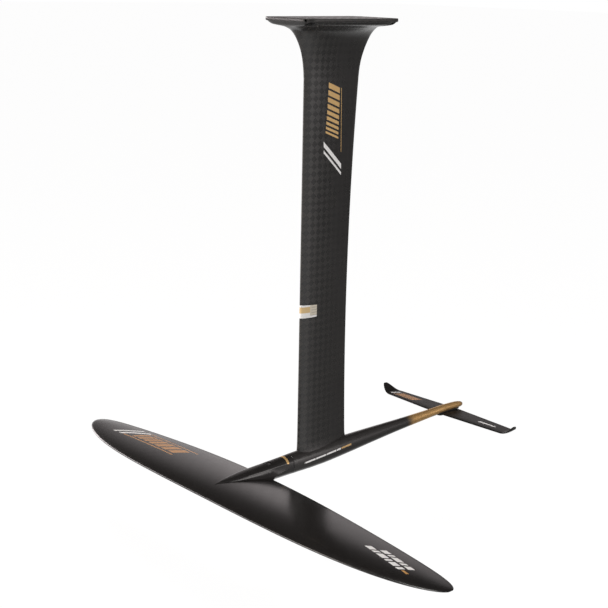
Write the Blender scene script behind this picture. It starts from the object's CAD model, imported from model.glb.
# A carbon hydrofoil: top plate, mast, fuselage, front wing with its nose, rear wing, shim, screws.
# +X is forward, +Y is port and +Z is up. The plate's upper face lies at z = 0 and the mast hangs
# down from it to the fuselage. Shapes are given in millimetres; shaders, lights and camera in metres.
import math
from functools import cached_property

import bmesh
import bpy
import numpy as np
from mathutils import Matrix, Vector


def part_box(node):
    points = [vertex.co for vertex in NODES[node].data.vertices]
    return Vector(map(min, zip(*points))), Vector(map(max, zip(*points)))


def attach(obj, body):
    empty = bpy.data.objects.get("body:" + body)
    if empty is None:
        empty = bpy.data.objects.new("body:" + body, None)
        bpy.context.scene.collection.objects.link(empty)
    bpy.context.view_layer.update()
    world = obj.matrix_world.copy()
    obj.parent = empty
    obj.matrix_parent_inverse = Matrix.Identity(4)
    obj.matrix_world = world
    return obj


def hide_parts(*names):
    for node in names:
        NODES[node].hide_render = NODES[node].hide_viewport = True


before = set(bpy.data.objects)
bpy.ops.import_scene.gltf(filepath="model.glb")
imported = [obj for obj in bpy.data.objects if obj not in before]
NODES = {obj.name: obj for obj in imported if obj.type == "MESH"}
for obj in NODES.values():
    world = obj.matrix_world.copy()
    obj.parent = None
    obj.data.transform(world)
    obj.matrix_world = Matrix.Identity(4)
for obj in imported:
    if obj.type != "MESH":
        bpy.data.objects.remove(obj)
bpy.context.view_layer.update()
MM = 0.001

# Places along x that several pieces share
MAST_BOLT_X = (-4, 30)       # rear, front
CLAMP_X = 123
REAR_BOLT_X = (-323, -344)   # front, rear

# Screw sizes: shank radius, head radius, washer radius, thread pitch
LARGE_SCREW = (3.0, 5.6, 7.2, 1.0)
SMALL_SCREW = (1.9, 3.6, 4.5, 0.7)


# ------------------------------------------------------------------ curves
def smooth_curve(xs, ys):
    """Monotone cubic through points, with no overshoot. xs rises."""
    xs, ys = np.array(xs, float), np.array(ys, float)
    gaps = np.diff(xs)
    rises = np.diff(ys) / gaps
    slopes = np.zeros_like(ys)
    for i in range(1, len(xs) - 1):
        if rises[i - 1] * rises[i] > 0:
            before, after = 2 * gaps[i] + gaps[i - 1], gaps[i] + 2 * gaps[i - 1]
            slopes[i] = (before + after) / (before / rises[i - 1] + after / rises[i])
    slopes[0], slopes[-1] = rises[0], rises[-1]

    def curve(x):
        x = np.clip(np.asarray(x, float), xs[0], xs[-1])
        i = np.clip(np.searchsorted(xs, x) - 1, 0, len(xs) - 2)
        part = (x - xs[i]) / gaps[i]
        return (
            (1 + 2 * part) * (1 - part) ** 2 * ys[i]
            + part * (1 - part) ** 2 * gaps[i] * slopes[i]
            + part * part * (3 - 2 * part) * ys[i + 1]
            + part * part * (part - 1) * gaps[i] * slopes[i + 1]
        )

    return curve


def table(rows):
    """Columns after the first, each a smooth function of the first."""
    first, *others = zip(*rows)
    curves = [smooth_curve(first, column) for column in others]
    return lambda x: [float(curve(x)) for curve in curves]


def cosine_spread(count):
    """0 to 1, close together at both ends."""
    return (1 - np.cos(np.linspace(0, math.pi, count))) / 2


def foil_half(chord_share):
    """Half thickness of a symmetric foil section, 1 at its thickest."""
    u = np.clip(chord_share, 0, 1)
    return (0.2969 * np.sqrt(u) - 0.126 * u - 0.3516 * u * u + 0.2843 * u**3
            - 0.1036 * u**4) / 0.10005


# ------------------------------------------------------------------ meshes
def tidy(obj, angle=32.0, merge=1e-6):
    """Merges doubles, turns faces outward, and shades smooth with sharp edges past an angle."""
    mesh = bmesh.new()
    mesh.from_mesh(obj.data)
    bmesh.ops.remove_doubles(mesh, verts=mesh.verts, dist=merge)
    bmesh.ops.dissolve_degenerate(mesh, edges=mesh.edges, dist=1e-7)
    loose = [vert for vert in mesh.verts if not vert.link_faces]
    bmesh.ops.delete(mesh, geom=loose, context="VERTS")
    bmesh.ops.recalc_face_normals(mesh, faces=mesh.faces)
    limit = math.radians(angle)
    for face in mesh.faces:
        face.smooth = True
    for edge in mesh.edges:
        edge.smooth = not (len(edge.link_faces) == 2 and edge.calc_face_angle(0) > limit)
    mesh.to_mesh(obj.data)
    mesh.free()
    return obj


def mesh_object(name, verts, faces):
    """verts in metres."""
    mesh = bpy.data.meshes.new(name)
    mesh.from_pydata(verts, [], faces)
    obj = bpy.data.objects.new(name, mesh)
    bpy.context.scene.collection.objects.link(obj)
    return obj


def loft(name, rings, angle=32.0):
    """A closed body through rings of points."""
    points = np.array(rings, float)
    rows, count, _ = points.shape
    faces = []
    for i in range(rows - 1):
        for j in range(count):
            k = (j + 1) % count
            faces.append((i * count + j, i * count + k, (i + 1) * count + k, (i + 1) * count + j))
    faces.append(tuple(reversed(range(count))))
    faces.append(tuple((rows - 1) * count + j for j in range(count)))
    return tidy(mesh_object(name, (points.reshape(-1, 3) * MM).tolist(), faces), angle)


def prism(outline, start, end, axis="z"):
    """A tool: an outline of (x, y) pushed along z, or of (x, z) pushed along y."""
    def put(point, at):
        return (*point, at) if axis == "z" else (point[0], at, point[1])
    return loft("tool", [[put(point, at) for point in outline] for at in (start, end)])


def lathe(name, profile, x, steps=64, angle=32.0):
    """Turns a profile about a vertical axis at x, y = 0.

    profile: (radius, z) rows, where radius may be a list with one value per step. It starts and
    ends on the axis with radius 0, or closes on itself.
    """
    verts, faces, rows = [], [], []
    for radius, z in profile:
        if radius == 0:
            rows.append([len(verts)])
            verts.append((x * MM, 0, z * MM))
            continue
        radii = radius if isinstance(radius, list) else [radius] * steps
        rows.append(list(range(len(verts), len(verts) + steps)))
        for i, reach in enumerate(radii):
            turn = 2 * math.pi * i / steps
            verts.append(((x + reach * math.cos(turn)) * MM, reach * math.sin(turn) * MM, z * MM))
    pairs = list(zip(rows, rows[1:]))
    if profile[0][0] != 0:
        pairs.append((rows[-1], rows[0]))
    for low, high in pairs:
        for i in range(steps):
            k = (i + 1) % steps
            if len(low) == 1:
                faces.append((low[0], high[i], high[k]))
            elif len(high) == 1:
                faces.append((low[i], high[0], low[k]))
            else:
                faces.append((low[i], high[i], high[k], low[k]))
    return tidy(mesh_object(name, verts, faces), angle)


def cylinder(x, radius, bottom, top, steps=32):
    """An upright round tool."""
    return lathe("tool", [(0, bottom), (radius, bottom), (radius, top), (0, top)], x, steps)


def boolean(obj, tools, operation):
    """Applies the tools in order, then removes them."""
    for tool in tools:
        modifier = obj.modifiers.new("boolean", "BOOLEAN")
        modifier.operation, modifier.object, modifier.solver = operation, tool, "EXACT"
    depsgraph = bpy.context.evaluated_depsgraph_get()
    mesh = bpy.data.meshes.new_from_object(obj.evaluated_get(depsgraph))
    obj.modifiers.clear()
    obj.data = mesh
    for tool in tools:
        bpy.data.objects.remove(tool)


def join(obj, tool):
    boolean(obj, [tool], "UNION")


def cut(obj, tools, angle):
    boolean(obj, tools, "DIFFERENCE")
    return tidy(obj, angle)


# ------------------------------------------------------------------ outlines
def slot_outline(middle_x, middle_y, length, width, arc_points=16, turn=0.0):
    radius, reach = width / 2, length / 2 - width / 2
    points = []
    for end, start in ((reach, -math.pi / 2), (-reach, math.pi / 2)):
        points += [(end + radius * math.cos(angle), radius * math.sin(angle))
                   for angle in np.linspace(start, start + math.pi, arc_points)]
    cos, sin = math.cos(turn), math.sin(turn)
    return [(middle_x + cos * x - sin * y, middle_y + sin * x + cos * y) for x, y in points]


def rounded_rect(half_x, half_y, radius, arc_points, middle_x=0.0):
    points = []
    for side_x, side_y, start in ((1, 1, 0), (-1, 1, 90), (-1, -1, 180), (1, -1, 270)):
        for angle in np.linspace(math.radians(start), math.radians(start + 90), arc_points):
            points.append((middle_x + side_x * (half_x - radius) + radius * math.cos(angle),
                           side_y * (half_y - radius) + radius * math.sin(angle)))
    return points


def beveled_box(x0, x1, half_y, z0, z1, bevel=0.5):
    """A tool with rounded long edges and a bevelled front end."""
    middle, half_z = (z0 + z1) / 2, (z1 - z0) / 2
    rings = []
    for x, inset in ((x0, 0), (x1 - bevel, 0), (x1 - bevel * 0.3, bevel * 0.35), (x1, bevel)):
        rect = rounded_rect(half_y - inset, half_z - inset, max(1.2 - inset, 0.4), 5)
        rings.append([(x, y, middle + z) for y, z in rect])
    return loft("tool", rings)


def mirrored(half_ring):
    """A whole ring from its +Y half, which runs from top centre to bottom centre."""
    return half_ring + [(x, -y, z) for x, y, z in half_ring[-2:0:-1]]


def both_tips(half_span):
    """Span stations from one tip to the other, from those between tip and middle."""
    return np.concatenate([-half_span, half_span[::-1][1:]])


# ------------------------------------------------------------------ fuselage section
# x, top, bottom
BAR = table([
    (-372.2, -740.4, -742.4), (-371.6, -738.9, -743.9), (-370.2, -737.6, -745.0),
    (-367.5, -736.3, -745.9), (-363, -735.1, -746.6), (-356, -734.2, -747.2),
    (-345, -733.5, -747.9), (-325, -733.4, -748.8), (-287, -734.9, -750.8),
    (-245, -736.0, -754.2), (-200, -737.0, -758.0), (-120, -738.0, -766.0),
    (-60, -739.1, -772.5), (0, -741.0, -778.0), (30, -742.5, -779.4),
    (65, -744.4, -780.2), (90, -746.4, -780.8),
])
WIDTH_SHARE = 0.92              # of the height
CHINE_Y, CHINE_Z = 0.90, 0.42   # crease between dome and side, in the unit section
DOME_SWEEP = 63                 # degrees of arc in half a dome
DOME_POINTS, FLAT_POINTS, KEEL_POINTS = 22, 10, 26


def dome_points(top, chine_y, chine_z, sweep):
    """Arc from top centre to the chine."""
    angle = np.linspace(0, sweep, DOME_POINTS)
    drop = (np.cos(angle) - math.cos(sweep))
    return np.stack([chine_y * np.sin(angle) / math.sin(sweep),
                     chine_z + (top - chine_z) * drop / (1 - math.cos(sweep))], 1)


def shares(count):
    """A column of shares from just past 0 up to 1."""
    return np.linspace(0, 1, count + 1)[1:, None]


def keel_points(start, pull_start, pull_end, end):
    """Cubic curve from the side's lower edge to bottom centre."""
    at = shares(KEEL_POINTS)
    return ((1 - at) ** 3 * start + 3 * (1 - at) ** 2 * at * pull_start
            + 3 * (1 - at) * at * at * pull_end + at**3 * end)


def unit_half_section():
    """From top centre to bottom centre: dome, crease, side flat, rounded keel."""
    dome = dome_points(1, CHINE_Y, CHINE_Z, math.radians(DOME_SWEEP))
    chine, skirt = np.array([CHINE_Y, CHINE_Z]), np.array([1.0, -0.06])
    at = shares(FLAT_POINTS)
    flat = chine + (skirt - chine) * at + np.array([0.016, 0.0]) * 4 * at * (1 - at)
    keel = keel_points(skirt, np.array([1.03, -0.48]), np.array([0.62, -1.0]),
                       np.array([0.0, -1.0]))
    return np.vstack([dome, flat, keel])


HALF_SECTION = unit_half_section()


def bar_size(x):
    """Middle height, half height and half width."""
    top, bottom = BAR(x)
    half = (top - bottom) / 2
    return (top + bottom) / 2, half, half * WIDTH_SHARE


def bar_ring(x, grow=0.0):
    middle, half, width = bar_size(x)
    return mirrored([(x, (width + grow) * y, middle + (half + grow) * z) for y, z in HALF_SECTION])


def bar_top(x, y):
    """Height of the fuselage's upper surface."""
    middle, half, width = bar_size(x)
    upper = HALF_SECTION[:DOME_POINTS + FLAT_POINTS]
    return middle + half * np.interp(np.abs(y) / width, upper[:, 0], upper[:, 1])


# ------------------------------------------------------------------ mast
# z, leading edge, trailing edge, half thickness, squareness, corner power
FLARE = table([
    (-98, 58.2, -63.9, 7.4, 0.0, 2), (-88, 58.8, -65.0, 7.5, 0.0, 2),
    (-78, 59.9, -66.6, 7.8, 0.01, 2), (-68, 61.5, -69.2, 8.4, 0.03, 2),
    (-58, 63.9, -72.9, 9.4, 0.07, 2), (-50, 66.5, -76.5, 10.8, 0.12, 2),
    (-42, 70.0, -80.8, 12.8, 0.20, 2), (-35, 73.5, -85.0, 15.4, 0.30, 2),
    (-29, 77.2, -89.2, 18.8, 0.44, 2), (-24, 80.8, -93.0, 23.0, 0.60, 2.05),
    (-20, 84.3, -95.8, 28.0, 0.76, 2.1), (-18, 87.0, -96.6, 31.5, 0.86, 2.15),
    (-16, 90.6, -97.4, 35.0, 0.92, 2.25), (-14.5, 93.4, -98.2, 38.5, 1.0, 2.4),
    (-13.5, 95.0, -99.4, 43.0, 1.0, 2.9), (-12.5, 96.5, -100.5, 48.0, 1.0, 4.0),
    (-11.5, 97.5, -101.5, 51.5, 1.0, 5.5), (-10.5, 98.3, -102.3, 53.5, 1.0, 6.5),
    (-9.0, 99.0, -103.0, 55.0, 1.0, 7.5), (-6.1, 100.5, -104.5, 56.5, 1.0, 9.0),
])
FLARE_END = -98
BLEND_START, MAST_FOOT = -730, -742   # the lowest rings bend to meet the fuselage
MAST_RING_Z = [
    -6.1, -6.5, -7.2, -8.1, -9.0, -9.8, -10.5, -11.0, -11.5, -12.0, -12.5, -13.0, -13.5, -14.0,
    -14.5, -15.2, -16, -17, -18, -19, -20, -22.5, -25, -28, -31, -34, -38, -42, -46, -51, -56,
    -61, -67, -73, -80, -88, FLARE_END] + list(np.linspace(-110, BLEND_START, 42))
MAST_CHORD = cosine_spread(74)
CORE_CHORD = np.linspace(0.12, 0.76, 20)
HALF_GAP = 0.06          # between a shell's inner face and y = 0
SKIN = 2.2
CORE_CLEARANCE = 0.15
MAST_ANGLE = 38
SLOT_X, SLOT_Y = 82.5, 45
SIDES = (1, -1)


def mast_station(z):
    """Leading edge, trailing edge, half thickness, squareness, corner power."""
    if z > FLARE_END:
        return FLARE(z)
    down = -z / 750.0
    foot = min(max((-z - 724) / 18.0, 0.0), 1.0) ** 2
    return (58.9 - 6 * down + 1.5 * down * down + 0.4 * foot,
            -71.5 + 63.9 * down - 50.3 * down * down - 1.4 * foot,
            7.4 + 3.2 * foot, 0.0, 3.0)


def mast_half(z, chord):
    """Half thickness, between a foil and a rounded box."""
    _, _, half, square, power = mast_station(z)
    box = np.maximum(0, 1 - np.abs(2 * chord - 1) ** power) ** (1 / power)
    return np.maximum(half * ((1 - square) * foil_half(chord) + square * box), 0.5)


def mast_ring(z, side):
    """Outer skin from front to rear, then back along the inner face and round the core."""
    front, rear = mast_station(z)[:2]

    def point(chord, y):
        return front + (rear - front) * chord, HALF_GAP * side + side * y, z

    skin = mast_half(z, MAST_CHORD)
    skin[0] = 0.0
    core = np.clip(mast_half(z, CORE_CHORD) - SKIN, 0.6, 5.2) + CORE_CLEARANCE
    return ([point(chord, y) for chord, y in zip(MAST_CHORD, skin)]
            + [point(1.0, 0), point(CORE_CHORD[-1], 0)]
            + [point(chord, y) for chord, y in zip(CORE_CHORD[::-1], core[::-1])]
            + [point(CORE_CHORD[0], 0)])


def mast_shell(name, side):
    rings = [mast_ring(z, side) for z in MAST_RING_Z]
    foot = [(x, y, float(bar_top(x, y)) + 0.12) for x, y, _ in mast_ring(MAST_FOOT, side)]
    for share in (0.25, 0.5, 0.75):
        ring = mast_ring(BLEND_START + (MAST_FOOT - BLEND_START) * share, side)
        rings.append([(x, y, BLEND_START + (low[2] - BLEND_START) * share)
                      for (x, y, _), low in zip(ring, foot)])
    rings.append(foot)
    return loft(name, rings, MAST_ANGLE)


def cut_bolt_pockets(shell, side):
    """Under each plate slot: a pocket, and a channel that leaves it towards the corner."""
    tools = []
    for end in SIDES:
        x, y = end * SLOT_X, side * SLOT_Y
        channel = slot_outline(x + end * 8, y + side * 8, 34, 10.5, turn=math.atan2(side, end))
        tools.append(prism(slot_outline(x, y, 28, 17), -40, -5))
        tools.append(prism(channel, -40, -5))
    cut(shell, tools, MAST_ANGLE)


# ------------------------------------------------------------------ mounting plate
PLATE_HALF_X, PLATE_HALF_Y, PLATE_CORNER, PLATE_X = 105.5, 59, 21, -2.0
# inset, z
PLATE_EDGE = ((2.2, -6.0), (1.1, -5.8), (0.4, -5.3), (0.06, -4.6), (0, -4.0),
              (0, -1.5), (0.12, -0.8), (0.5, -0.25), (1.1, 0.0))
DRAIN_RADIUS, DRAIN_ANGLE, DRAIN_Z, DRAIN_OFFSET = 1.9, math.radians(33), -3.0, 7


def drain_tool(end, side):
    """A round bore from a slot out through the rounded corner."""
    cos, sin = math.cos(DRAIN_ANGLE), math.sin(DRAIN_ANGLE)
    rings = []
    for reach in (8, 34):
        ring = []
        for i in range(24):
            turn = 2 * math.pi * i / 24
            across, rise = DRAIN_RADIUS * math.cos(turn), DRAIN_RADIUS * math.sin(turn)
            ring.append((end * SLOT_X + end * (reach * cos - across * sin),
                         side * SLOT_Y - DRAIN_OFFSET * side + side * (reach * sin + across * cos),
                         DRAIN_Z + rise))
        rings.append(ring)
    return loft("tool", rings)


def mounting_plate():
    rings = []
    for inset, z in PLATE_EDGE:
        outline = rounded_rect(PLATE_HALF_X - inset, PLATE_HALF_Y - inset, PLATE_CORNER - inset,
                               18, PLATE_X)
        rings.append([(x, y, z) for x, y in outline])
    plate = loft("mounting_plate", rings)
    tools = []
    for end in SIDES:
        for side in SIDES:
            x, y = end * SLOT_X, side * SLOT_Y
            tools.append(prism(slot_outline(x, y, 26.6, 13.1), -9, -1.1))
            tools.append(prism(slot_outline(x, y, 22.6, 9.1), -9, 2))
            tools.append(drain_tool(end, side))
    return cut(plate, tools, 30)


# ------------------------------------------------------------------ fuselage
TAIL_X = -372.2
BOLT_HOLE, WASHER_HOLE = 3.35, 7.6
FORK_RADIUS = 3.6
# (x, z) outline of the step cut under the tail for the rear wing
TAIL_SEAT = [(-390, -745.0), (-303, -745.0), (-300.5, -745.5), (-297.5, -747.2), (-292, -750.6),
             (-286, -754), (-286, -775), (-390, -775)]


def fuselage_bar():
    tail = TAIL_X + 16 * (1 - np.cos(np.linspace(0, math.pi / 2, 16)))
    stations = list(tail) + list(np.linspace(-352, 69, 98)) + [71, 72.5, 73.3]
    rings = [bar_ring(x) for x in stations] + [bar_ring(73.6, -0.14), bar_ring(73.84, -0.5)]
    bar = loft("fuselage_bar", rings, 24)
    join(bar, beveled_box(66, 160, 7.5, -772, -758))   # tongue that enters the front wing

    fork_arc = [(CLAMP_X + FORK_RADIUS * math.cos(angle), FORK_RADIUS * math.sin(angle))
                for angle in np.linspace(math.pi / 2, 1.5 * math.pi, 20)]
    tools = [
        prism(TAIL_SEAT, -20, 20, axis="y"),
        prism(rounded_rect(27.3, 5.2, 1.6, 6, np.mean(MAST_BOLT_X)), -762.3, -730),
        prism([(170, -FORK_RADIUS), (170, FORK_RADIUS)] + fork_arc, -790, -740),
    ]
    for x in MAST_BOLT_X:
        bottom = BAR(x)[1]
        tools.append(cylinder(x, WASHER_HOLE, bottom - 4, bottom + 6.1, 48))
        tools.append(cylinder(x, BOLT_HOLE, bottom - 4, -756))
    for x in REAR_BOLT_X:
        tools.append(cylinder(x, 2.95, -746, -736.8))
    return cut(bar, tools, 24)


# ------------------------------------------------------------------ front wing and nose
HALF_SPAN, CHORD, THICKNESS_SHARE = 472.0, 139.1, 0.090
TIP_ROUNDNESS = 2.07   # power of the superellipse that sets the chord
WING_CHORD = cosine_spread(56)


def wing_ring(span):
    """Section at a share of the half span, from -1 to 1."""
    chord = CHORD * max(0.0, 1 - abs(span)**TIP_ROUNDNESS) ** (1 / TIP_ROUNDNESS)
    lead = 201.3 - 12.6 * span * span - 23 * span**4 + chord / 2
    base = -769.6 - 28.8 * span * span + 6 * span**4
    half = foil_half(WING_CHORD) * chord * THICKNESS_SHARE / 2
    half = np.maximum(half, min(0.35, chord * 0.03))
    half[0] = 0.0
    camber = 0.1 * WING_CHORD * (1 - WING_CHORD) * chord
    xs = lead - WING_CHORD * chord
    # both skins are fuller near the leading edge
    high = half * (1 + 0.14 * np.exp(-WING_CHORD / 0.03))
    low = half * (1 + 0.55 * np.exp(-WING_CHORD / 0.045))
    y = span * HALF_SPAN
    upper = [(x, y, base + bend + rise) for x, bend, rise in zip(xs, camber, high)]
    lower = [(x, y, base + bend - drop) for x, bend, drop in zip(xs, camber, low)]
    return upper + lower[:0:-1]


# x, top, chine y, chine z, skirt y, skirt z, keel
NOSE = table([
    (65, -744.4, 14.75, -754.8, 16.47, -763.4, -780.2),
    (86, -746.3, 14.5, -754.7, 16.5, -764.6, -780.7),
    (100, -747.6, 14.4, -754.9, 16.9, -766.6, -780.9),
    (112, -748.6, 14.3, -755.2, 18.0, -768.4, -780.9),
    (121, -749.3, 14.2, -755.5, 21.0, -769.6, -780.8),
    (128, -749.9, 14.1, -755.8, 25.5, -769.5, -780.6),
    (136, -750.5, 14.0, -756.0, 26.5, -769.0, -780.3),
    (150, -751.6, 13.8, -756.3, 23.5, -767.6, -779.6),
    (165, -752.8, 13.4, -756.8, 19.8, -765.2, -778.6),
    (178, -753.9, 12.8, -757.4, 17.0, -763.6, -777.2),
    (192, -755.2, 11.5, -758.4, 14.0, -762.4, -775.6),
    (206, -756.5, 9.3, -759.2, 11.0, -761.8, -773.8),
    (218, -757.9, 6.6, -760.0, 7.8, -762.0, -772.0),
    (228, -759.3, 4.1, -760.9, 4.9, -762.6, -770.4),
    (235, -760.5, 2.2, -761.6, 2.7, -763.0, -768.5),
    (240, -761.9, 0.6, -762.3, 0.8, -763.2, -766.5),
])


def nose_ring(x, grow=0.0):
    top, chine_y, chine_z, skirt_y, skirt_z, keel_z = NOSE(x)
    sweep = math.radians(DOME_SWEEP + 12 * np.clip((x - 90) / 60, 0, 1))
    dome = dome_points(top, chine_y, chine_z, sweep)
    # the side goes from the fuselage's slight bulge to a hollow that spreads into the wing
    bow = np.clip((x - 80) / 50, 0, 1)
    chine, skirt = np.array([chine_y, chine_z]), np.array([skirt_y, skirt_z])
    hollow = np.array([-(skirt_y - chine_y) * 0.30, -(chine_z - skirt_z) * 0.16])
    pull = (chine + skirt) / 2 + (1 - bow) * np.array([0.26, 0.0]) + bow * hollow
    at = shares(14)
    side = (1 - at) ** 2 * chine + 2 * (1 - at) * at * pull + at * at * skirt
    keel = keel_points(skirt, skirt + np.array([0.5 * (1 - bow), -0.42 * (skirt_z - keel_z)]),
                       np.array([0.62 * min(skirt_y, 16.4), keel_z]), np.array([0.0, keel_z]))
    half = []
    for i, (y, z) in enumerate(np.vstack([dome, side, keel])):
        lift = 1 if i < DOME_POINTS else -1 if i > 40 else 0
        half.append((x, max(0.0, y + (grow if y > 0.01 else 0)), z + grow * lift))
    half[0], half[-1] = (x, 0.0, half[0][2]), (x, 0.0, half[-1][2])
    return mirrored(half)


def nose_body():
    stations = ([74.7, 75.5, 77] + list(np.linspace(79, 228, 78))
                + [230, 232, 233.6, 235, 236.4, 237.6, 238.6, 239.4])
    rings = [nose_ring(74.16, -0.5), nose_ring(74.4, -0.14)] + [nose_ring(x) for x in stations]
    return loft("tool", rings, 24)


def front_wing():
    half_span = np.concatenate([1 - np.geomspace(0.0006, 0.06, 18), np.linspace(0.93, 0.1, 58),
                                np.linspace(0.09, 0.0, 14)])
    wing = loft("front_wing", [wing_ring(span) for span in both_tips(half_span)], 40)
    join(wing, nose_body())
    washer_top = NOSE(CLAMP_X)[0] - 0.9
    return cut(wing, [
        beveled_box(73, 161, 7.8, -772.3, -757.7, 0.3),   # socket for the fuselage tongue
        cylinder(CLAMP_X, 7.5, washer_top - 4.6, washer_top + 5, 48),
        cylinder(CLAMP_X, BOLT_HOLE, -759, washer_top),
        cylinder(CLAMP_X, 4.55, -779, -771),
    ], 26)


# ------------------------------------------------------------------ rear wing and shim
REAR_HALF_SPAN, REAR_CHORD = 169.5, 50.9
TIP_RISE, TIP_START, TIP_SHARE = 16.0, 0.86, 0.14
REAR_SPREAD = cosine_spread(40)
# length, width, z of the mounting pad's rings
PAD_RINGS = ((50, 10, -752.0), (53, 13, -751.7), (54, 14, -751.0), (54, 14, -746.7))
# inset, z
SHIM_RINGS = ((0.25, -746.55), (0.0, -746.35), (0.0, -745.35), (0.25, -745.1))


def rear_ring(span):
    """Section at a share of the half span. The tips curl up, and sections lean with them."""
    out = abs(span)
    tip = min(max((out - TIP_START) / TIP_SHARE, 0), 1)
    end = min(max((out - 0.84) / 0.16, 0), 1)
    full = REAR_CHORD * (1 - 0.361 * out)
    chord = full * math.sqrt(max(0.006, 1 - (end * 0.985) ** 2))
    lead = -307.0 - 8.9 * out - 0.32 * (full - chord)
    base = -749.0 + TIP_RISE * tip**2.2
    y = span * REAR_HALF_SPAN
    half = np.maximum(foil_half(REAR_SPREAD) * chord * 0.10 / 2, min(0.3, chord * 0.03))
    half[0] = 0.0
    camber = -0.06 * REAR_SPREAD * (1 - REAR_SPREAD) * chord
    lean = 0.0
    if tip > 0:
        climb = TIP_RISE * 2.2 * tip**1.2 / (TIP_SHARE * REAR_HALF_SPAN)
        lean = math.atan2(climb, 1) * (1 if span > 0 else -1)
    upper, lower = [], []
    for share, thick, bend in zip(REAR_SPREAD, half, camber):
        for points, rise in ((upper, bend + thick), (lower, bend - thick)):
            points.append((lead - share * chord, y - math.sin(lean) * rise,
                           base + math.cos(lean) * rise))
    return upper + lower[:0:-1]


def rear_wing():
    half_span = np.concatenate([1 - np.geomspace(0.0008, 0.17, 40), np.linspace(0.81, 0.0, 22)])
    wing = loft("rear_wing_blade", [rear_ring(span) for span in both_tips(half_span)], 40)
    join(wing, loft("tool", [[(x, y, z) for x, y in slot_outline(-330, 0, length, width, 20)]
                             for length, width, z in PAD_RINGS]))
    tools = []
    for x in REAR_BOLT_X:
        tools.append(cylinder(x, 4.75, -760, -749.4, 48))
        tools.append(cylinder(x, 2.25, -760, -740))
    return cut(wing, tools, 28)


def tail_shim():
    rings = [[(x, y, z) for x, y in slot_outline(-331, 0, 60 - 2 * inset, 13 - 2 * inset, 20)]
             for inset, z in SHIM_RINGS]
    shim = loft("tail_shim", rings)
    return cut(shim, [cylinder(x, 2.3, -750, -740) for x in REAR_BOLT_X], 30)


# ------------------------------------------------------------------ screws and washers
HEAD_DEPTH = 0.8   # of the straight rim, before the cone


def screw(name, x, head_z, up, length, size):
    """Countersunk screw with a thread and a hex socket. up is +1 if it points up, else -1."""
    shank, head, _, pitch = size
    steps = 40
    start = HEAD_DEPTH + head - shank + 0.4
    profile = [(0, 0.0), (head * 0.93, 0.0), (head, 0.12), (head, 0.75),
               (shank + 0.25, HEAD_DEPTH + head - shank - 0.2), (shank - 0.05, start)]
    rows = max(8, int((length - start) / pitch * 9))
    for k in range(rows + 1):
        depth = start + 0.3 + (length - start - 0.3) * k / rows
        left = length - depth
        # the groove fades in below the head and out at the tip
        fade = max(0.0, min(1.0, (depth - start - 0.3) / 1.2, left / 0.9 + 0.15))
        chamfer = max(0.0, 0.7 - left) * 0.8
        radii = []
        for i in range(steps):
            phase = abs(2 * ((depth / pitch - up * i / steps) % 1.0) - 1)
            groove = 0.30 * pitch * (1 - phase * 2 if phase < 0.5 else 0)
            radii.append(shank - 0.06 - groove * fade - chamfer)
        profile.append((radii, depth))
    profile.append((0, length))
    body = lathe(name, [(radius, head_z + up * depth) for radius, depth in profile], x, steps, 34)
    key = shank * 0.66
    hexagon = [(x + key * math.cos(math.pi / 3 * i), key * math.sin(math.pi / 3 * i))
               for i in range(6)]
    return cut(body, [prism(hexagon, *sorted((head_z - up * 1.0, head_z + up * 2.4)))], 34)


def cup_washer(name, x, head_z, up, size):
    shank, head, outer, _ = size
    seat = HEAD_DEPTH + head - shank
    bevel = 0.25
    profile = [(head + 0.3, 0.0), (outer - bevel * 1.4, 0.0), (outer - bevel * 0.4, bevel * 0.3),
               (outer, bevel * 1.2), (outer, seat + 0.9 - bevel), (outer - bevel, seat + 0.9),
               (shank + 0.3, seat + 0.9), (shank + 0.3, seat + 0.12), (head + 0.3, 0.92)]
    return lathe(name, [(radius, head_z + up * depth) for radius, depth in profile], x, 64, 30)


# body, screw node, washer node, x, direction, size, decimals kept in the head's height
FASTENERS = [
    ("mast_bolt_rear", "mast_screw_rear", "mast_screw_washer_rear",
     MAST_BOLT_X[0], 1, LARGE_SCREW, 3),
    ("mast_bolt_front", "mast_screw_front", "mast_screw_washer_front",
     MAST_BOLT_X[1], 1, LARGE_SCREW, 3),
    ("clamp_bolt", "wing_screw", "wing_screw_washer", CLAMP_X, -1, LARGE_SCREW, None),
    ("rear_bolt_front", "rear_wing_screw_front", "rear_wing_washer_front",
     REAR_BOLT_X[0], 1, SMALL_SCREW, None),
    ("rear_bolt_rear", "rear_wing_screw_rear", "rear_wing_washer_rear",
     REAR_BOLT_X[1], 1, SMALL_SCREW, None),
]


def fasteners():
    """(object, CAD node, body) for every screw and washer."""
    made = []
    for body, screw_node, washer_node, x, up, size, decimals in FASTENERS:
        low, high = (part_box(screw_node)[i].z / MM for i in (0, 1))
        head, tip = (low, high) if up > 0 else (high, low)
        if decimals:
            head = round(head, decimals)
        bolt = screw(f"{body}_visual", x, head, up, abs(tip - head), size)
        cup = cup_washer(f"{body.replace('bolt', 'cup')}_visual", x, head, up, size)
        made.append((bolt, screw_node, body))
        made.append((cup, washer_node, body.replace("bolt", "washer")))
    return made


# ------------------------------------------------------------------ wrap label at mid mast
LABEL_Z = -490        # the mast section it follows
LABEL_BOTTOM = -502.4
LABEL_LAYERS = (0.04, 0.16)   # height of inner and outer faces above the skin


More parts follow.
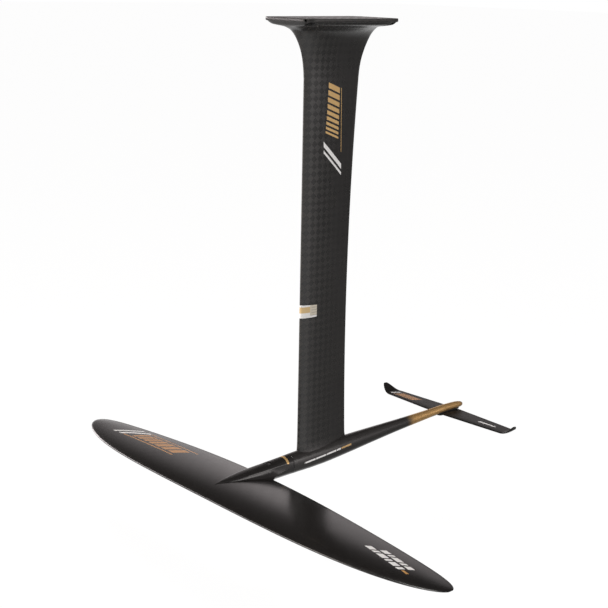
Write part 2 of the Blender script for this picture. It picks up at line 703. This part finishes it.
def wrap_label():
    """A thin printed wrap round the leading edge."""
    chord = np.concatenate([np.linspace(0.30, 0.02, 26), [0.012, 0.006, 0.002, 0.0]])
    path = [(share, 1) for share in chord] + [(share, -1) for share in chord[::-1][1:]]
    front, rear = mast_station(LABEL_Z)[:2]
    rows, columns = 9, len(path)
    verts, faces = [], []
    for height in LABEL_LAYERS:
        for rise in np.linspace(0, 1, rows):
            for share, side in path:
                x, y = front + (rear - front) * share, 0.0
                if share > 0:
                    half = float(mast_half(LABEL_Z, np.array([share]))[0])
                    y = side * half + HALF_GAP * side
                # pushed forward at the edge, sideways behind it
                sideways = min(share / 0.03, 1.0)
                norm = math.hypot(1 - sideways, sideways)
                x += height * (1 - sideways) / norm
                y += height * side * sideways / norm
                top = -479.2 - (58 - x) * 0.06
                z = LABEL_BOTTOM + (top - LABEL_BOTTOM) * rise
                verts.append((x * MM, y * MM, z * MM))

    def at(layer, row, column):
        return layer * rows * columns + row * columns + column

    for i in range(rows - 1):
        for j in range(columns - 1):
            for k in (0, 1):
                faces.append((at(k, i, j), at(k, i, j + 1), at(k, i + 1, j + 1), at(k, i + 1, j)))
    for j in range(columns - 1):
        for i in (0, rows - 1):
            faces.append((at(0, i, j), at(0, i, j + 1), at(1, i, j + 1), at(1, i, j)))
    for i in range(rows - 1):
        for j in (0, columns - 1):
            faces.append((at(0, i, j), at(0, i + 1, j), at(1, i + 1, j), at(1, i, j)))
    return tidy(mesh_object("mast_wrap_band", verts, faces), 40, merge=1e-7)


# ------------------------------------------------------------------ shader graphs
class Value:
    """A shader output. Each operator adds one Math node; & and | combine masks."""

    def __init__(self, graph, socket):
        self.graph, self.socket = graph, socket

    def math(self, operation, other=0.0):
        return self.graph.math(operation, self, other)

    def __add__(self, other):
        return self.math("ADD", other)

    def __radd__(self, other):
        return self.graph.math("ADD", other, self)

    def __sub__(self, other):
        return self.math("SUBTRACT", other)

    def __rsub__(self, other):
        return self.graph.math("SUBTRACT", other, self)

    def __mul__(self, other):
        return self.math("MULTIPLY", other)

    def __neg__(self):
        return self * -1.0

    def __abs__(self):
        return self.math("ABSOLUTE")

    __and__ = __mul__

    def __or__(self, other):
        return self.math("MAXIMUM", other)

    def above(self, limit):
        return self.math("GREATER_THAN", limit)

    def below(self, limit):
        return self.math("LESS_THAN", limit)

    def pingpong(self, reach):
        return self.math("PINGPONG", reach)

    def scaled(self, by, plus=0.0, clamp=False):
        return self.graph.math("MULTIPLY_ADD", self, by, plus, clamp)

    def between(self, low, high, soft=0.0003):
        """1 inside a band whose edges are soft wide."""
        rise = self.scaled(1 / soft, plus=-low / soft + 0.5, clamp=True)
        return rise & self.scaled(-1 / soft, plus=high / soft + 0.5, clamp=True)

    def smooth(self, start, end, peak=1.0):
        """0 before start, an S curve, then peak from end on."""
        return self.graph.value("MapRange", {0: self, 1: start, 2: end, 3: 0.0, 4: peak},
                                interpolation_type="SMOOTHSTEP")


class Graph:
    """Builds the node tree of a material or world."""

    def __init__(self, owner, coordinates="Object"):
        owner.use_nodes = True
        self.owner, self.tree = owner, owner.node_tree
        self.tree.nodes.clear()
        self.coords = self.value("TexCoord", output=coordinates)

    def put(self, socket, value):
        if isinstance(value, Value):
            self.tree.links.new(value.socket, socket)
        elif isinstance(value, tuple) and len(socket.default_value) == 4:
            socket.default_value = (*value, 1.0)[:4]
        else:
            socket.default_value = value

    def node(self, kind, inputs=None, **settings):
        node = self.tree.nodes.new("ShaderNode" + kind)
        for name, setting in settings.items():
            setattr(node, name, setting)
        for key, value in (inputs or {}).items():
            self.put(node.inputs[key], value)
        return node

    def value(self, kind, inputs=None, output=0, **settings):
        return Value(self, self.node(kind, inputs, **settings).outputs[output])

    @cached_property
    def axes(self):
        """x, y and z of the coordinates."""
        node = self.node("SeparateXYZ", {0: self.coords})
        return [Value(self, socket) for socket in node.outputs]

    def math(self, operation, first, second=0.0, third=0.0, clamp=False):
        return self.value("Math", {0: first, 1: second, 2: third},
                          operation=operation, use_clamp=clamp)

    def constant(self, number):
        return self.math("ADD", number)

    def lin(self, x=0.0, y=0.0, z=0.0, plus=0.0):
        """Weighted sum of the coordinates."""
        total = plus
        for i, weight in enumerate((x, y, z)):
            if weight:
                total = self.axes[i].scaled(weight, plus=total)
        return total

    def mix(self, factor, first, second):
        """Mixes colours: sockets 6 and 7 are the Mix node's colour inputs."""
        return self.value("Mix", {0: factor, 6: first, 7: second}, output=2, data_type="RGBA")

    def mix_number(self, factor, first, second):
        return self.value("Mix", {0: factor, 2: first, 3: second})

    def noise(self, scale, detail=3, rough=0.5, stretch=None):
        source = self.coords
        if stretch:
            source = self.value("Mapping", {0: source, "Scale": stretch})
        return self.value("TexNoise", {"Vector": source, "Scale": scale, "Detail": detail,
                                       "Roughness": rough})

    def cells(self, scale):
        return self.value("TexVoronoi", {"Vector": self.coords, "Scale": scale},
                          output="Distance")

    def bump(self, height, strength, distance, normal=None):
        inputs = {"Strength": strength, "Distance": distance, "Height": height}
        if normal:
            inputs["Normal"] = normal
        return self.value("Bump", inputs)

    def levels(self, value, stops, stop_reach=1.0, value_reach=1.0):
        """Piecewise grey level. Stops run over +-stop_reach as value runs over +-value_reach."""
        ramp = self.node("ValToRGB", {0: value.scaled(0.5 / value_reach, plus=0.5)})
        elements = ramp.color_ramp.elements
        for k, (stop, grey) in enumerate(stops):
            position = (stop + stop_reach) / (2 * stop_reach)
            if k == 0:
                element = elements[0]
            elif k == len(stops) - 1:
                element = elements[-1]
            else:
                element = elements.new(position)
            element.position, element.color = position, (grey, grey, grey, 1)
        return Value(self, ramp.outputs[0])

    def principled(self, **inputs):
        """Ends a material and returns it."""
        sockets = {"color": "Base Color", "rough": "Roughness", "metal": "Metallic",
                   "coat": "Coat Weight", "coat_rough": "Coat Roughness", "normal": "Normal",
                   "specular": "Specular IOR Level", "aniso": "Anisotropic",
                   "aniso_turn": "Anisotropic Rotation", "tangent": "Tangent"}
        named = {sockets[key]: value for key, value in inputs.items()}
        self.node("OutputMaterial", {0: self.value("BsdfPrincipled", named)})
        return self.owner


def new_graph(name):
    return Graph(bpy.data.materials.new(name))


# ------------------------------------------------------------------ carbon
GOLD = (0.68, 0.44, 0.18)
COPPER = (0.62, 0.335, 0.15)
WHITE = (0.86, 0.86, 0.85)
AMBER = (0.62, 0.40, 0.17)
# darkest and lightest tone of the tows
GREY_CARBON = ((0.0125, 0.0118, 0.0115), (0.023, 0.0213, 0.0198))
BLACK_CARBON = ((0.0066, 0.0062, 0.006), (0.014, 0.0128, 0.0118))
AXES = {"x": (1, 0, 0), "y": (0, 1, 0), "z": (0, 0, 1)}


def carbon(name, plane, weave, tones=GREY_CARBON, rough=0.29, specular=0.5, angle=0.0,
           weave_amount=None, base=None, graphics=None):
    """Satin-lacquered spread-tow carbon.

    plane: the two axes that the tows run along. weave: tow width. weave_amount gives the strength
    of the checks, base changes the bare colour, graphics prints on (colour, roughness, metallic).
    """
    mat = new_graph(name)
    first, second = AXES[plane[0]], AXES[plane[1]]
    cos, sin = math.cos(angle), math.sin(angle)
    wander = mat.noise(18, detail=2).scaled(0.0016, plus=-0.0008)
    along = mat.lin(*(cos * a + sin * b for a, b in zip(first, second))) + wander
    across = mat.lin(*(-sin * a + cos * b for a, b in zip(first, second))) + wander
    squares = (along * (1 / weave)).math("FLOOR") + (across * (1 / weave)).math("FLOOR")
    check = squares.pingpong(1.0)
    # fine filaments along each tow
    strands = [mat.noise(1.0, detail=2, rough=0.6, stretch=tuple(60 + 2600 * abs(k) for k in axis))
               for axis in (second, first)]
    strand = mat.mix_number(check, *strands)
    # thin gap at tow edges
    edge_along = (along * (1 / weave)).pingpong(0.5)
    edge_across = (across * (1 / weave)).pingpong(0.5)
    gap = edge_along.math("MINIMUM", edge_across).smooth(0.0, 0.05)
    # how much the checks show in tone, roughness and relief
    if weave_amount:
        amount = weave_amount(mat)
        in_tone, in_rough, in_relief = amount * 0.40, amount * 0.05, amount * 0.6
    else:
        in_tone, in_rough, in_relief = 0.55, 0.05, 0.6
    clouds = mat.noise(7.0, detail=4, rough=0.55)
    tone = ((check - 0.5) * in_tone + strand.scaled(0.5, plus=-0.25)
            + clouds.scaled(0.9, plus=0.05))
    color = mat.mix(mat.math("MULTIPLY", tone, 1.0, clamp=True), *tones)
    if base:
        color = base(mat, color)
    gloss = rough + (check - 0.5) * in_rough + mat.noise(30).scaled(0.08, plus=-0.04)
    look = (color, gloss, 0.0)
    if graphics:
        look = graphics(mat, look)
    lacquer, ripple = mat.noise(420, detail=2), mat.noise(26, detail=2)
    cloth = mat.bump(check * in_relief + strand * 0.25 + gap * 0.4,
                     strength=0.07, distance=0.0002)
    normal = mat.bump(lacquer * 0.12 + ripple * 1.0, strength=0.10, distance=0.0004, normal=cloth)
    tangent = mat.value("Tangent", direction_type="RADIAL", axis="Z" if "z" in plane else "Y")
    return mat.principled(color=look[0], rough=look[1], metal=look[2], specular=specular,
                          normal=normal, aniso=0.2, aniso_turn=check * 0.25, tangent=tangent,
                          coat_rough=0.09)


# ------------------------------------------------------------------ printed graphics
def paint(mat, look, mask, color, rough, metal=0.0):
    """Lays one printed colour over what is there."""
    wear = mat.noise(90).scaled(0.35, plus=-0.05, clamp=True)
    tint = mat.mix(wear, color, tuple(0.72 * k for k in color))
    return (mat.mix(mask, look[0], tint), mat.mix_number(mask, look[1], rough),
            mat.mix_number(mask, look[2], metal))


def any_of(masks):
    total = masks[0]
    for mask in masks[1:]:
        total = total | mask
    return total


def ladder(along, across, start, count, width, taper, gap, sides, spread=(0.0, 0.0)):
    """Bars down from start, each narrower by taper. sides: their ends, moved by spread per bar."""
    bars = []
    for k in range(count):
        thick = width - taper * k
        bars.append(along.between(start - thick, start)
                    & across.between(sides[0] + spread[0] * k, sides[1] + spread[1] * k))
        start -= thick + gap
    return any_of(bars)


def mast_graphics(mat, look):
    """A gold ladder of slanted bars with a rail down its rear side, and two white slashes."""
    along = mat.lin(z=1)
    across = mat.lin(x=1, z=-0.034)   # square to the leading edge
    slant = along + across * -0.38
    bars = ladder(slant, across, start=-0.1095, count=9, width=0.0092, taper=0.0007, gap=0.0036,
                  sides=(-0.0135, 0.0130), spread=(0.0004, 0.0009))
    rail = across.between(-0.0182, -0.0170) & slant.between(-0.2160, -0.1085)
    slashes = any_of([
        (along + across * -0.95).between(low, high) & across.between(-0.0180, 0.0246)
        for low, high in ((-0.2345, -0.2255), (-0.2450, -0.2400))])
    look = paint(mat, look, bars | rail, GOLD, rough=0.40, metal=0.25)
    return paint(mat, look, slashes, WHITE, rough=0.42)


def mast_base(mat, color):
    """Darker past two slanted tape edges, lighter towards the front."""
    steps = [mat.lin(x=-1.0, z=1.0, plus=plus).smooth(-0.0015, 0.0015) * 0.10
             for plus in (0.2836, 0.3600)]
    front = mat.lin(x=1).smooth(0.020, 0.052)
    gain = front.scaled(0.42, plus=1.0 - (steps[0] + steps[1]))
    return mat.value("VectorMath", {0: color, "Scale": gain}, operation="SCALE")


def bar_graphics(mat, look):
    """Gold tail with a soft start, and a dashed pinstripe along each side."""
    x = mat.lin(x=1)
    fade = x + mat.noise(120).scaled(0.010, plus=-0.005)
    gold = (-fade).smooth(0.211, 0.240)
    end = 1.0 - (-x).smooth(0.362, 0.373) * 0.55
    speck = mat.noise(900, detail=2, rough=0.6).smooth(0.35, 0.75)
    tint = mat.mix(speck, (0.46, 0.27, 0.095), (0.66, 0.425, 0.185))
    # faces that look down at the tail stay bare
    facing = mat.value("SeparateXYZ", {0: mat.value("NewGeometry", output="True Normal")}, output=2)
    under = (-facing).smooth(0.40, 0.60) & x.below(-0.280)
    gold = gold & (1.0 - under)
    look = (mat.mix(gold & end, look[0], tint), mat.mix_number(gold, look[1], 0.34),
            mat.mix_number(gold, look[2], 0.62))
    flank = mat.lin(x=0.085, z=1)
    stripe = flank.between(-0.7588, -0.7560) & abs(mat.axes[1]).above(0.006)
    dash = (x + 1.0).pingpong(0.0125).between(0.0007, 0.02)
    white = stripe & x.between(-0.036, 0.051) & dash
    amber = stripe & x.between(-0.062, -0.0375)
    look = paint(mat, look, white, WHITE, rough=0.42)
    return paint(mat, look, amber, AMBER, rough=0.38, metal=0.25)


# Port wing print: x range of each row, then its blocks from inboard to outboard
WING_BLOCKS = (
    ((0.1440, 0.1535), ((0.438, 0.452), (0.456, 0.463), (0.467, 0.484), (0.488, 0.494),
                        (0.498, 0.512), (0.516, 0.524))),
    ((0.1310, 0.1400), ((0.452, 0.466), (0.470, 0.476), (0.480, 0.497), (0.501, 0.508),
                        (0.512, 0.524))),
)


def wing_graphics(mat, look):
    x, y = mat.lin(x=1), mat.lin(y=1)
    top = mat.lin(z=1).above(-0.790)
    # starboard: leaning copper bars between two rails, with white slashes across
    starboard = y.below(-0.12)
    across = x + y * -0.06
    lean = y + x * 0.55
    bars = ladder(lean, across, start=-0.064, count=7, width=0.0185, taper=0.0011, gap=0.0066,
                  sides=(0.1800, 0.2085))
    rails = ((across.between(0.1718, 0.1748) | across.between(0.2137, 0.2165))
             & lean.between(-0.2280, -0.0520))
    copper = (bars | rails) & starboard
    cross = y + x * 0.95
    slashes = ((cross.between(-0.1660, -0.1540) | cross.between(-0.1880, -0.1780))
               & across.between(0.1718, 0.2165) & starboard)
    # port: two rows of leaning white blocks and a short amber rule
    port = y.above(0.12)
    across = x + y * -0.10
    lean = y + x * 0.7
    blocks = any_of([across.between(*row) & lean.between(*block)
                     for row, row_blocks in WING_BLOCKS for block in row_blocks])
    rule = across.between(0.1475, 0.1515) & lean.between(0.5275, 0.5400)
    collar = (x.between(0.0846, 0.0894) & mat.lin(z=1).above(-0.7553)
              & abs(y).below(0.03))
    look = paint(mat, look, copper & top, COPPER, rough=0.42, metal=0.3)
    look = paint(mat, look, (slashes | (blocks & port)) & top, WHITE, rough=0.42)
    look = paint(mat, look, rule & port, (0.62, 0.33, 0.10), rough=0.4, metal=0.2)
    return paint(mat, look, collar, (0.72, 0.47, 0.20), rough=0.3, metal=0.5)


def rear_graphics(mat, look):
    """Copper ladder with rails to starboard, a white slash and a white dash."""
    x, y = mat.lin(x=1), mat.lin(y=1)
    top = mat.lin(z=1).above(-0.7492)
    across = x + abs(y) * 0.03
    lean = y + x * 0.6
    bars = ladder(lean, across, start=-0.281, count=6, width=0.0072, taper=0.0003, gap=0.0020,
                  sides=(-0.3352, -0.3208))
    rails = ((across.between(-0.3370, -0.3358) | across.between(-0.3202, -0.3190))
             & lean.between(-0.3345, -0.2780))
    copper = (bars | rails) & y.below(-0.05)
    slash = lean.between(-0.3440, -0.3380) & across.between(-0.3370, -0.3190)
    dash = across.between(-0.3312, -0.3262) & (y + x * 0.5).between(-0.0850, -0.0460)
    look = paint(mat, look, copper & top, COPPER, rough=0.42, metal=0.3)
    return paint(mat, look, (slash | dash) & top, WHITE, rough=0.42)


def mast_weave(mat):
    """Checks show more towards the front."""
    return mat.lin(x=1).smooth(-0.030, 0.030).scaled(1.3, plus=0.5)


# ------------------------------------------------------------------ other materials
def foam_material():
    mat = new_graph("core_foam_cells")
    cells = mat.cells(900)
    color = mat.mix(cells.smooth(0.1, 0.6), (0.60, 0.49, 0.29), (0.78, 0.68, 0.46))
    return mat.principled(color=color, rough=0.85, specular=0.3,
                          normal=mat.bump(cells, strength=0.5, distance=0.0004))


def raw_laminate():
    """Bare plies stacked along y."""
    mat = new_graph("raw_laminate")
    plies = (mat.lin(y=1) * (1 / 0.0006)).pingpong(0.5)
    strand = mat.noise(1.0, detail=2, rough=0.6, stretch=(80, 3000, 900))
    color = mat.mix(plies * 0.8 + strand * 0.4, (0.014, 0.0138, 0.0134), (0.050, 0.048, 0.046))
    return mat.principled(color=color, rough=0.48, specular=0.4,
                          normal=mat.bump(strand, strength=0.25, distance=0.0002))


def turned_metal(name, dark, light, rough):
    mat = new_graph(name)
    rings = mat.noise(1.0, detail=2, rough=0.6, stretch=(30, 30, 5000))
    smear = mat.noise(140, rough=0.6)
    return mat.principled(color=mat.mix(smear * 0.9, dark, light), metal=1.0, aniso=0.3,
                          rough=smear.scaled(0.16, plus=rough - 0.06),
                          normal=mat.bump(rings, strength=0.12, distance=0.0001))


def bush_metal():
    mat = new_graph("anodised_bush")
    grain = mat.noise(1.0, detail=2, rough=0.6, stretch=(600, 600, 4000))
    wear = mat.noise(260, rough=0.6).smooth(0.52, 0.72)
    color = mat.mix(wear, (0.20, 0.205, 0.215), (0.42, 0.43, 0.44))
    return mat.principled(color=color, metal=1.0, rough=wear.scaled(-0.1, plus=0.42),
                          normal=mat.bump(grain, strength=0.15, distance=0.0001))


def moulded_plastic():
    mat = new_graph("shim_moulded_plastic")
    spark = mat.cells(2600)
    color = mat.mix(mat.noise(60), (0.012, 0.012, 0.012), (0.024, 0.0235, 0.023))
    return mat.principled(color=color, rough=spark.scaled(0.2, plus=0.48),
                          normal=mat.bump(spark, strength=0.22, distance=0.0001))


def label_print():
    """White wrap: a gold block at the front, cream behind it with fine level rules."""
    mat = new_graph("wrap_band_print")
    x, z = mat.lin(x=1), mat.lin(z=1)
    gold = x.above(0.0385) & z.between(-0.4935, -0.4830)
    cream = x.below(0.0385) & z.above(-0.4990)
    rule = (z + 1.0).pingpong(0.0023).between(0.0, 0.00045, soft=0.0002)
    hatch = rule & cream & x.below(0.0355)
    color = mat.mix(gold, (0.82, 0.82, 0.81), (0.62, 0.42, 0.16))
    color = mat.mix(cream, color, (0.60, 0.55, 0.44))
    color = mat.mix(hatch * 0.75, color, (0.20, 0.17, 0.13))
    color = mat.mix(mat.noise(160) * 0.25, color, (0.55, 0.52, 0.47))
    return mat.principled(color=color, rough=mat.noise(60, detail=2).scaled(0.1, plus=0.33),
                          coat=0.4, coat_rough=0.12,
                          normal=mat.bump(mat.noise(50, detail=2), strength=0.1, distance=0.0002))


# ------------------------------------------------------------------ build the pieces
mast_port = mast_shell("mast_shell_port", 1)
mast_starboard = mast_shell("mast_shell_starboard", -1)
cut_bolt_pockets(mast_port, 1)
cut_bolt_pockets(mast_starboard, -1)
plate = mounting_plate()
fuselage = fuselage_bar()
wing = front_wing()
rear = rear_wing()
shim = tail_shim()
hardware = fasteners()
label = wrap_label()

mast_carbon = carbon("mast_carbon", "xz", weave=0.0088, angle=math.pi / 4,
                     weave_amount=mast_weave, base=mast_base, graphics=mast_graphics)
bar_carbon = carbon("fuselage_carbon", "xz", weave=0.011,
                    weave_amount=lambda mat: mat.constant(0.35), graphics=bar_graphics)
wing_carbon = carbon("wing_carbon", "xy", weave=0.0135, tones=BLACK_CARBON, rough=0.24,
                     weave_amount=lambda mat: mat.constant(0.18), graphics=wing_graphics)
rear_carbon = carbon("rear_wing_carbon", "xy", weave=0.011, tones=BLACK_CARBON, rough=0.44,
                     specular=0.2, weave_amount=lambda mat: mat.constant(0.3),
                     graphics=rear_graphics)
plate_carbon = carbon("plate_carbon", "xy", weave=0.009, rough=0.40, specular=0.35)
foam, laminate = foam_material(), raw_laminate()
steel = turned_metal("black_oxide_steel", dark=(0.030, 0.030, 0.031),
                     light=(0.075, 0.074, 0.072), rough=0.34)
brass = turned_metal("turned_brass", dark=(0.50, 0.36, 0.15), light=(0.66, 0.50, 0.24),
                     rough=0.30)
bush, plastic, print_ = bush_metal(), moulded_plastic(), label_print()


def stand(obj, material, slot, body, *nodes):
    """Dresses a piece and lets it stand in for CAD nodes."""
    obj.data.materials.clear()
    obj.data.materials.append(material)
    for face in obj.data.polygons:
        face.material_index = 0
    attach(obj, body)
    if nodes:
        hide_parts(*nodes)


stand(mast_port, mast_carbon, "carbon_satin", "mast", "mast_skin_port")
stand(mast_starboard, mast_carbon, "carbon_satin", "mast", "mast_skin_starboard")
stand(plate, plate_carbon, "carbon_satin", "mast", "top_plate")
stand(label, print_, "accent_white", "mast")
stand(fuselage, bar_carbon, "carbon_satin", "fuselage", "fuselage")
stand(wing, wing_carbon, "carbon_satin", "front_wing",
      "nose_fairing", "wing_upper_skin", "wing_lower_skin")
stand(rear, rear_carbon, "carbon_satin", "rear_wing", "rear_wing")
stand(shim, plastic, "shim_plastic", "rear_wing", "rear_wing_shim")
for piece, node_name, body_name in hardware:
    stand(piece, steel, "screw_steel", body_name, node_name)


def cad_material(name):
    if name.endswith("_core"):
        return foam
    if name == "mast_foot":
        return laminate
    if "insert" in name:
        return brass
    return bush if "bush" in name else steel


# CAD pieces that still show
for node_name, piece in NODES.items():
    if piece.hide_render:
        continue
    piece.data.materials.clear()
    piece.data.materials.append(cad_material(node_name))
    if "bush" in node_name or "insert" in node_name or node_name == "mast_foot":
        edge_bevel = piece.modifiers.new("edge", "BEVEL")
        edge_bevel.width, edge_bevel.segments = 0.0003, 2
        edge_bevel.limit_method, edge_bevel.angle_limit = "ANGLE", math.radians(40)


# ------------------------------------------------------------------ floor
FLOOR_Z, FLOOR_REACH = -1.02, 40
# degrees about z from +X, glow seen by everything but the camera
FLOOR_GLOW = ((-180, 0.42), (-160, 0.80), (-132, 1.15), (-110, 1.0), (-60, 0.60), (0, 0.70),
              (60, 0.85), (95, 0.95), (110, 0.80), (124, 0.42), (137, 0.26), (150, 0.14),
              (165, 0.20), (180, 0.42))
FLOOR_CAMERA_GLOW = 1.06
FLOOR_EMISSION_SHARE = 0.90


def floor_material():
    mat = new_graph("pale_floor")
    turn = mat.value("Math", {0: mat.axes[1], 1: mat.axes[0]}, operation="ARCTAN2")
    glow = mat.levels(turn, FLOOR_GLOW, stop_reach=180, value_reach=math.pi)
    to_camera = mat.value("LightPath", output="Is Camera Ray")
    strength = mat.mix_number(to_camera, glow, FLOOR_CAMERA_GLOW)
    diffuse = mat.value("BsdfDiffuse", {0: (0.86, 0.86, 0.86)})
    emission = mat.value("Emission", {0: (1, 1, 1), 1: strength})
    shader = mat.value("MixShader", {0: FLOOR_EMISSION_SHARE, 1: diffuse, 2: emission})
    mat.node("OutputMaterial", {0: shader})
    return mat.owner


corners = [(x * FLOOR_REACH, y * FLOOR_REACH, FLOOR_Z)
           for x, y in ((-1, -1), (1, -1), (1, 1), (-1, 1))]
floor = mesh_object("studio_floor", corners, [(0, 1, 2, 3)])
floor.data.materials.append(floor_material())

# ------------------------------------------------------------------ world
# (coordinate, brightness) stops. Height is the z of a direction; side is level and square to the
# view, positive towards +X and -Y.
SKY_BY_HEIGHT = ((-1.0, 0.40), (-0.02, 0.42), (0.04, 0.34), (0.25, 0.26), (0.50, 0.10),
                 (0.82, 0.07), (0.94, 0.26), (1.0, 0.36))
BACKDROP_BY_HEIGHT = ((-1.0, 0), (0.06, 0), (0.14, 1.0), (0.37, 1.0), (0.50, 0), (1.0, 0))
BACKDROP_BY_SIDE = ((-1.0, 0), (-0.34, 0), (-0.22, 0.55), (-0.13, 0.62), (-0.05, 0.92),
                    (-0.02, 0.92), (0.03, 0.55), (0.08, 0.36), (0.20, 0.10), (0.30, 0), (1.0, 0))
BACKDROP_STRENGTH = 1.0
STRIP_BY_HEIGHT = ((-1.0, 0), (0.02, 0), (0.06, 1.0), (0.20, 1.0), (0.25, 0), (1.0, 0))
STRIP_STRENGTH = 12.0
WALL_BY_HEIGHT = ((-1.0, 0), (-0.10, 1.0), (0.02, 1.0), (0.07, 0), (1.0, 0))
SHADE_BY_SIDE = ((-1.0, 0), (0.12, 0), (0.28, 0.5), (0.6, 0.5), (0.85, 0), (1.0, 0))


def glow_about(sky, direction, start, end, peak):
    """A soft round glow. start and end are cosines of its outer and inner angles."""
    size = math.sqrt(sum(part * part for part in direction))
    dir_x, dir_y, dir_z = (part / size for part in direction)
    x, y, z = sky.axes
    facing = x.scaled(dir_x, plus=y.scaled(dir_y, plus=z * dir_z))
    return facing.smooth(start, end, peak)


def studio_world():
    """Plain white to the camera, a lit studio to everything else."""
    world = bpy.data.worlds.new("studio")
    bpy.context.scene.world = world
    sky = Graph(world, "Generated")
    x, y, height = sky.axes
    side = x.scaled(0.75, plus=y * -0.66)
    ahead = x.scaled(-0.66, plus=y * -0.75).above(0.0)
    # a tall softbox behind the object, seen from the camera
    backdrop = (sky.levels(height, BACKDROP_BY_HEIGHT) * sky.levels(side, BACKDROP_BY_SIDE)
                * (ahead * BACKDROP_STRENGTH))
    # a long low strip to starboard of the nose
    strip = sky.levels(height, STRIP_BY_HEIGHT) * (
        glow_about(sky, (0.57, -0.82, 0.08), start=0.60, end=0.85, peak=1.0) * STRIP_STRENGTH)
    # two glows on the tail's port side
    tail = (glow_about(sky, (-0.70, 0.4045, 0.588), start=0.90, end=0.965, peak=0.25)
            + glow_about(sky, (-0.512, 0.852, 0.1045), start=0.955, end=0.990, peak=1.9))
    # a pale low wall far behind
    wall = sky.levels(height, WALL_BY_HEIGHT) * glow_about(
        sky, (-0.66, -0.75, 0.0), start=0.55, end=0.80, peak=0.7)
    shade = sky.levels(side, SHADE_BY_SIDE) * ahead
    ambient = sky.levels(height, SKY_BY_HEIGHT) * (1.0 - shade)
    strength = ambient + (backdrop + (strip + (tail + wall)))
    studio = sky.value("Background", {0: (1.0, 0.925, 0.93), 1: strength})
    white = sky.value("Background", {0: (1, 1, 1), 1: 1.0})
    to_camera = sky.value("LightPath", output="Is Camera Ray")
    shader = sky.value("MixShader", {0: to_camera, 1: studio, 2: white})
    sky.node("OutputWorld", {0: shader})


studio_world()

# ------------------------------------------------------------------ camera
CAMERA_PLACE = (1.47525, 1.62179, 0.06517)
CAMERA_HEADING, CAMERA_DIP, CAMERA_ROLL = 3.9902, 0.2464, -0.0232   # radians; heading from +X
LENS, SENSOR = 77.246994079, 36   # mm


def add_camera():
    heading, dip, roll = CAMERA_HEADING, CAMERA_DIP, CAMERA_ROLL
    forward = Vector((math.cos(heading) * math.cos(dip), math.sin(heading) * math.cos(dip),
                      -math.sin(dip)))
    level = Vector((math.sin(heading), -math.cos(heading), 0))
    below = forward.cross(level)
    right = math.cos(roll) * level + math.sin(roll) * below
    down = -math.sin(roll) * level + math.cos(roll) * below
    data = bpy.data.cameras.new("camera")
    data.sensor_width, data.lens, data.clip_end = SENSOR, LENS, 200
    camera = bpy.data.objects.new("camera", data)
    place = Vector(CAMERA_PLACE)
    rows = [(right[i], -down[i], -forward[i], place[i]) for i in range(3)]
    camera.matrix_world = Matrix((*rows, (0, 0, 0, 1)))
    bpy.context.scene.collection.objects.link(camera)
    bpy.context.scene.camera = camera


def area_light(name, place, target, size, power, color):
    """size: width and height; power in watts."""
    data = bpy.data.lights.new(name, "AREA")
    data.energy, data.color, data.shape = power, color, "RECTANGLE"
    data.size, data.size_y = size
    light = bpy.data.objects.new(name, data)
    light.location = place
    aim = Vector(target) - Vector(place)
    light.rotation_euler = aim.to_track_quat("-Z", "Y").to_euler()
    bpy.context.scene.collection.objects.link(light)
    light.visible_camera = False


add_camera()
area_light("front_side", place=(2.2, -0.6, 0.1), target=(0, 0, -0.4), size=(0.8, 2.0), power=24,
           color=(1, 0.91, 0.84))
area_light("tail_side", place=(-1.25, 2.9, 0.60), target=(0.0, 0, -0.75), size=(1.6, 0.9),
           power=20, color=(1, 0.97, 0.94))
area_light("overhead", place=(1.0, 0.7, 3.1), target=(0.1, 0, -0.75), size=(1.2, 1.2), power=70,
           color=(1, 0.98, 0.95))

bpy.context.scene.view_settings.view_transform = "Standard"
bpy.context.scene.view_settings.look = "None"
